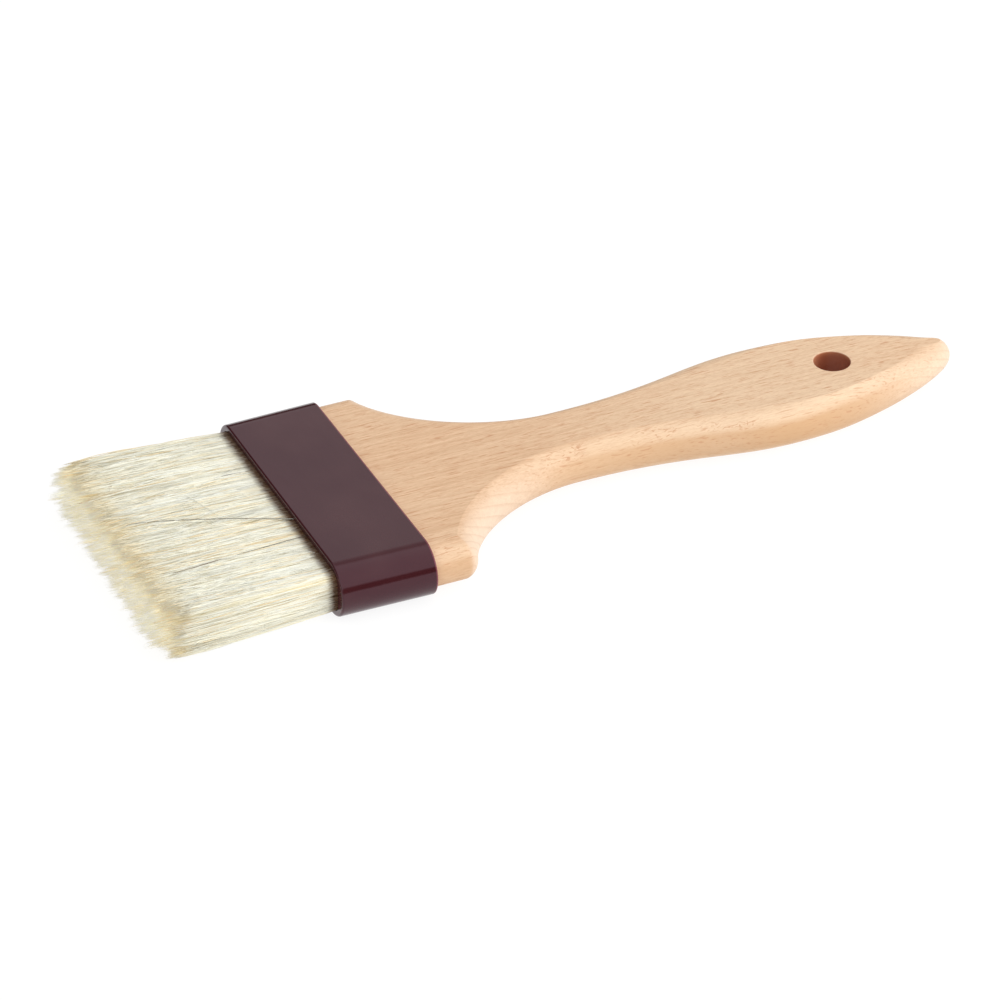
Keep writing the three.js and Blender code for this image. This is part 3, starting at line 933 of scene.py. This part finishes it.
def hair_paths(rng, count, bank):
    """Centre lines of count hairs as (count, steps, 3), and the tuft each one ends in."""

    def each(spread):
        return rng.normal(0, spread, count)[:, None]

    def any_turn():
        return rng.uniform(0, 6.3, count)[:, None]

    a, b = hair_places(rng, count)
    tuft_a = rng.uniform(-1, 1, TUFTS_PER_BANK)
    tuft_b = rng.uniform(0, 1, TUFTS_PER_BANK) ** 0.8
    across, up = (a[:, None] - tuft_a) * TUFTED_HALF_WIDTH, (b[:, None] - tuft_b) * TUFTED_HEIGHT
    apart = across**2 + up**2
    tuft = apart.argmin(1)
    tip_x = hair_tips(rng, a, b, tuft, np.sqrt(apart.min(1)))
    x = hair_stations(each(0.25), tip_x)
    out = np.clip(x / BRISTLE_TIP_X, 0, 1.1)
    thick, parting, z, reach = section_at(x, b)
    y = a[:, None] * reach

    strays = (rng.random(count) < SHARE_OF_STRAYS)[:, None]
    y += (each(FAN) + np.where(strays, each(STRAY_FAN), 0)) * out + each(1.2) * out**2.2
    z += each(0.25) * out + each(0.3) * out**2
    waves = 2 * math.pi * x / rng.uniform(*WAVE_LENGTHS, count)[:, None]
    y += each(WAVE_ACROSS) * np.sin(waves + any_turn()) * out**0.5
    z += each(WAVE_UP) * np.sin(waves + any_turn()) * out**0.5

    pull = smoothstep(0.66, 1.0, out)
    y += (tuft_a[tuft][:, None] * reach - y) * pull * PULL_ACROSS
    z += (parting + tuft_b[tuft][:, None] * (thick - parting) - z) * pull * PULL_UP
    y += each(0.15) * smoothstep(0.82, 1.05, out)
    z += each(0.2) * smoothstep(0.82, 1.05, out)

    z = held_below(z, thick + 0.12 + np.where(strays, 0.5, 0) * out)
    z = np.maximum(z, 0.02)
    y = np.sign(y) * held_below(np.abs(y), reach + (0.4 + np.where(strays, 0.7, 0)) * out)
    if bank > 0:
        y, z = open_lock_gap(x, y, z, b[:, None])
    return np.stack([x, y, bank * z], 2), tuft


def open_lock_gap(x, y, z, b):
    """Pushes the top hairs of the upper bank away from the line between two locks."""
    out = np.clip(x / BRISTLE_TIP_X, 0, 1)
    line = LOCK_GAP_Y[0] + (LOCK_GAP_Y[1] - LOCK_GAP_Y[0]) * out
    away = y - line
    near = np.clip(1 - np.abs(away) / LOCK_GAP_REACH, 0, 1)
    open_share = smoothstep(-0.02, 0.06, out) * (1 - smoothstep(0.55, 0.85, out))
    open_share = open_share * smoothstep(0.5, 0.85, b)
    y = y + np.sign(away) * 0.35 * near * open_share
    z = z - 0.4 * near**2 * open_share
    return y, z


def loose_hair_paths():
    """Centre lines and colours of the single hairs that lie on top of the upper bank."""
    paths = []
    for points, _ in LOOSE_HAIRS:
        known = np.array(points, float)
        at = np.linspace(0, 1, len(known))
        wanted = np.linspace(0, 1, HAIR_STEPS)
        x, y = (np.polyval(np.polyfit(at, known[:, k], len(known) - 1), wanted) for k in range(2))
        z = pack_thickness(x) + 0.22
        z[0] -= 0.3
        z[-1] -= 0.25
        paths.append(np.stack([x, y, z], 1))
    colours = [np.tile(np.append(colour, 0), (HAIR_STEPS, 1)) for _, colour in LOOSE_HAIRS]
    return np.array(paths), np.array(colours)


def own_colours(rng, count, tuft):
    """The colour of each hair by itself, pale, cream, tan or dark, and which ones are dark."""
    tuft_tone = rng.normal(0, 0.12, TUFTS_PER_BANK)
    tone = np.clip(rng.beta(1.1, 1.9, count) + tuft_tone[tuft], 0, 1)[:, None]
    colour = PALE + (CREAM - PALE) * np.clip(tone * 2.2, 0, 1)
    colour = colour + (TAN - colour) * smoothstep(0.42, 0.95, tone)
    is_dark = (rng.random(count) < SHARE_OF_DARK)[:, None]
    shade = rng.normal(0, 0.045, TUFTS_PER_BANK)[tuft] + rng.normal(-0.015, 0.07, count)
    colour = colour * np.exp(shade).clip(0.76, 1.04)[:, None]
    return np.where(is_dark, DARK * 2, colour)[:, None], is_dark


def hair_colours(rng, count, tuft, paths):
    """Red, green, blue and glow for every step of every hair: painted golden shade inside the pack,
    painted warm shade at the upper tips and painted shade beside the ferrule, for the shadow under
    its lip. The glow stands for light that reaches a hair through its neighbours."""
    colour, is_dark = own_colours(rng, count, tuft)
    x = paths[:, :, :1]
    out = np.clip(x / BRISTLE_TIP_X, 0, 1)
    from_middle = np.abs(paths[:, :, 2:])
    height = from_middle / pack_thickness(x)
    below_top = pack_thickness(x) - from_middle
    from_side = pack_width(x) - np.abs(paths[:, :, 1:2])
    inner = smoothstep(0.15, 0.9, np.minimum(below_top, from_side))
    # Painted golden shade on the hairs inside the pack, fading out before their tips.
    colour = colour * (1 + (INNER_SHADE_TINT - 1) * inner * smoothstep(0.96, 0.84, out))
    # Painted warm shade on the upper tips, where the top of the pack ends.
    warm = smoothstep(0.74, 0.86, out) * smoothstep(0.42, 0.86, height) * smoothstep(0.99, 0.91, out)
    colour = colour * (1 - TIP_WARMTH * warm * (1 - TAN / TAN[0]))
    # Painted shade beside the ferrule's mouth, for the shadow under its lip.
    colour = colour * (MOUTH_SHADE + (1 - MOUTH_SHADE) * smoothstep(-0.6, -2.6, x))
    glow = HAIR_GLOW + INNER_GLOW * inner + (TIP_GLOW - HAIR_GLOW) * smoothstep(0.8, 1.0, out)
    return np.concatenate([colour, glow * ~is_dark[:, None]], 2)


def tube_points(rng, paths, radii):
    """Points of every tube: rings of HAIR_SIDES points along each path, then its tip."""
    count = len(paths)
    tangent = np.gradient(paths, axis=1)
    tangent /= np.linalg.norm(tangent, axis=2)[:, :, None]
    side = np.cross(tangent, np.array([0.0, 0.0, 1.0]))
    side /= np.linalg.norm(side, axis=2)[:, :, None]
    up = np.cross(side, tangent)
    corners = np.arange(HAIR_SIDES) * 2 * math.pi / HAIR_SIDES
    turn = rng.uniform(0, 2 * math.pi, count)[:, None, None] + corners
    ring = side[:, :, None] * np.cos(turn)[..., None] + up[:, :, None] * np.sin(turn)[..., None]
    rings = paths[:, :-1, None] + ring[:, :-1] * radii[:, :-1, None, None]
    return np.concatenate([rings.reshape(count, -1, 3), paths[:, -1:]], 1)


def tube_faces(steps):
    """Quads along one tube, and triangles for its root's cap and its pointed tip."""
    quads = []
    for r in range(steps - 2):
        for k in range(HAIR_SIDES):
            here, after = r * HAIR_SIDES + k, r * HAIR_SIDES + (k + 1) % HAIR_SIDES
            quads.append((here, after, after + HAIR_SIDES, here + HAIR_SIDES))
    last = (steps - 2) * HAIR_SIDES
    tip = last + HAIR_SIDES
    triangles = [(2, 1, 0)]
    triangles += [(last + k, last + (k + 1) % HAIR_SIDES, tip) for k in range(HAIR_SIDES)]
    return np.array(quads), np.array(triangles)


def tube_mesh(name, rng, paths, colours, radii):
    """Three-sided tubes along the paths, closed at the root and drawn to a point at the tip."""
    points = tube_points(rng, paths, radii)
    tints = np.concatenate([np.repeat(colours[:, :-1], HAIR_SIDES, 1), colours[:, -1:]], 1)
    quads, triangles = tube_faces(paths.shape[1])
    count, per_hair = points.shape[:2]
    start = (np.arange(count) * per_hair)[:, None, None]
    quad_index = (quads[None] + start).reshape(-1)
    triangle_index = (triangles[None] + start).reshape(-1)
    quad_count = count * len(quads)
    triangle_count = count * len(triangles)
    index = np.concatenate([quad_index, triangle_index])
    starts = [np.arange(quad_count) * 4, quad_count * 4 + np.arange(triangle_count) * 3]

    mesh = bpy.data.meshes.new(name)
    mesh.vertices.add(count * per_hair)
    mesh.vertices.foreach_set("co", place(points.reshape(-1, 3)).ravel())
    mesh.loops.add(len(index))
    mesh.loops.foreach_set("vertex_index", index.astype(np.int32))
    mesh.polygons.add(quad_count + triangle_count)
    mesh.polygons.foreach_set("loop_start", np.concatenate(starts).astype(np.int32))
    mesh.update(calc_edges=True)
    tint = mesh.attributes.new("hair_colour", "FLOAT_COLOR", "POINT")
    tint.data.foreach_set("color", tints.astype(np.float32).ravel())
    mesh.shade_smooth()
    return mesh


def piece_of(paths):
    """Which of the side-by-side pieces each hair goes in, with about as many hairs in each."""
    root_y = paths[:, 0, 1]
    inner_limits = np.linspace(0, 1, PIECES_PER_BANK + 1)[1:-1]
    return np.digitize(root_y, np.quantile(root_y, inner_limits))


def make_bank(side_name, bank, seed, material):
    """One bank of hairs, in side-by-side pieces."""
    rng = np.random.default_rng(seed)
    paths, tuft = hair_paths(rng, HAIRS_PER_BANK, bank)
    colours = hair_colours(rng, HAIRS_PER_BANK, tuft, paths)
    if bank > 0:
        loose, loose_colours = loose_hair_paths()
        paths = np.concatenate([paths, loose])
        colours = np.concatenate([colours, loose_colours])
    base = HAIR_RADIUS * rng.normal(1, 0.22, len(paths)).clip(0.5, 1.5)[:, None]
    base[HAIRS_PER_BANK:] = LOOSE_HAIR_RADIUS
    share = np.linspace(0, 1, HAIR_STEPS)
    radii = base * (1 - 0.45 * share**3)
    part = piece_of(paths)
    for k in range(PIECES_PER_BANK):
        chosen = part == k
        name = f"bristles_{side_name}_{k + 1}"
        mesh = tube_mesh(name, rng, paths[chosen], colours[chosen], radii[chosen])
        hairs = add_object(name, mesh, material)
        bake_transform(hairs)
    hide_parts(f"bristle_bank_{side_name}", f"bristle_roots_{side_name}")


# ---- Studio: floor, light and camera ------------------------------------------------------------

AIM_FROM_MOUTH = Vector((0.0546, -0.0048, -0.0069))
CAMERA_AZIMUTH = math.radians(24.78)
CAMERA_ELEVATION = math.radians(33.32)
CAMERA_DISTANCE = 0.9863
CAMERA_LENS = 149.0

FLOOR_HALF = 3.0
FLOOR_DROP = 0.00005
FLOOR_GLOW = 0.88

# How bright the studio is at each height, from 0 at the horizon to 1 overhead, by direction.
WALL_BEHIND = [
    (0.0, 0.06), (0.27, 0.06), (0.36, 0.85), (0.62, 0.85), (0.76, 0.55), (0.84, 0.55), (0.9, 1.25),
]
DARK_BEHIND_LEFT = [(0.0, 0.05), (0.55, 0.05), (0.9, 1.25)]
LIGHT_IN_FRONT = [(0.0, 0.06), (0.30, 0.06), (0.36, 1.2)]
LIGHT_AT_LEFT = [(0.0, 0.06), (0.12, 0.06), (0.2, 1.6), (0.8, 1.25)]
WORLD_STRENGTH = 1.0

KEY_PLACE = (1.0, -0.62, 0.42)
KEY_SIZE = (0.8, 0.8)
KEY_POWER = 9


def make_camera():
    data = bpy.data.cameras.new("camera")
    data.sensor_width = 36
    data.lens = CAMERA_LENS
    data.clip_start = 0.05
    camera = bpy.data.objects.new("camera", data)
    bpy.context.scene.collection.objects.link(camera)
    back = Vector((
        -math.sin(CAMERA_AZIMUTH) * math.cos(CAMERA_ELEVATION),
        -math.cos(CAMERA_AZIMUTH) * math.cos(CAMERA_ELEVATION),
        math.sin(CAMERA_ELEVATION),
    ))
    right = Vector((math.cos(CAMERA_AZIMUTH), -math.sin(CAMERA_AZIMUTH), 0))
    up = back.cross(right)
    place_at = MOUTH + AIM_FROM_MOUTH + back * CAMERA_DISTANCE
    turn = Matrix((right, up, back)).transposed()
    camera.matrix_world = Matrix.Translation(place_at) @ turn.to_4x4()
    bpy.context.scene.camera = camera


def make_floor():
    half = FLOOR_HALF
    z = CAD_BOX[0][2] - FLOOR_DROP
    corners = [(-half, -half, z), (half, -half, z), (half, half, z), (-half, half, z)]
    mesh = bpy.data.meshes.new("floor")
    mesh.from_pydata(corners, [], [(0, 1, 2, 3)])
    add_object("floor", mesh, studio_floor())


def area_light(name, place_at, size, power):
    """A rectangular lamp that faces the frame's origin, under the middle of the brush."""
    data = bpy.data.lights.new(name, "AREA")
    data.shape = "RECTANGLE"
    data.size, data.size_y = size
    data.energy = power
    lamp = bpy.data.objects.new(name, data)
    bpy.context.scene.collection.objects.link(lamp)
    lamp.location = place_at
    lamp.rotation_euler = (-Vector(place_at)).to_track_quat("-Z", "Y").to_euler()


def world_band(nodes, links, height, stops):
    """Brightness by the height of the direction, as (height, brightness) stops."""
    ramp = nodes.new("ShaderNodeValToRGB")
    links.new(height, ramp.inputs["Fac"])
    elements = ramp.color_ramp.elements
    first, last = elements[0], elements[-1]
    first.position, last.position = stops[0][0], stops[-1][0]
    first.color, last.color = ((value, value, value, 1) for _, value in (stops[0], stops[-1]))
    for position, value in stops[1:-1]:
        elements.new(position).color = (value, value, value, 1)
    return ramp.outputs["Color"]


def world_split(nodes, links, value, low, high, a, b):
    """Blends from a to b while value goes from low to high."""
    share = nodes.new("ShaderNodeMapRange")
    links.new(value, share.inputs["Value"])
    share.inputs["From Min"].default_value = low
    share.inputs["From Max"].default_value = high
    blend = nodes.new("ShaderNodeMix")
    blend.data_type = "RGBA"
    links.new(share.outputs["Result"], blend.inputs["Factor"])
    links.new(a, blend.inputs["A"])
    links.new(b, blend.inputs["B"])
    return blend.outputs["Result"]


def make_world():
    """A bright wall behind, soft light overhead, in front and at the left, and a dark low band."""
    world = bpy.data.worlds.new("studio")
    bpy.context.scene.world = world
    world.use_nodes = True
    nodes, links = world.node_tree.nodes, world.node_tree.links
    direction = nodes.new("ShaderNodeSeparateXYZ")
    links.new(nodes.new("ShaderNodeTexCoord").outputs["Generated"], direction.inputs[0])
    x, y, z = (direction.outputs[axis] for axis in "XYZ")
    bands = (WALL_BEHIND, DARK_BEHIND_LEFT, LIGHT_IN_FRONT, LIGHT_AT_LEFT)
    wall, dark, front, left = (world_band(nodes, links, z, stops) for stops in bands)
    behind = world_split(nodes, links, x, 0.1, -0.1, wall, dark)
    in_front = world_split(nodes, links, x, -0.2, -0.4, front, left)
    background = nodes["Background"]
    links.new(world_split(nodes, links, y, 0.15, -0.25, behind, in_front), background.inputs["Color"])
    background.inputs["Strength"].default_value = WORLD_STRENGTH


def make_studio():
    make_camera()
    make_floor()
    make_world()
    area_light("key", KEY_PLACE, KEY_SIZE, KEY_POWER)
    bpy.context.scene.view_settings.view_transform = "Standard"


# ---- The brush ------------------------------------------------------------------------------------

make_studio()
make_handle(beech())
make_ferrule(oxblood_plastic())
make_epoxy_set(cast_epoxy())
finish_filler(sawn_strip())
bristle = boar_bristle()
make_bank("upper", 1, UPPER_SEED, bristle)
make_bank("lower", -1, LOWER_SEED, bristle)
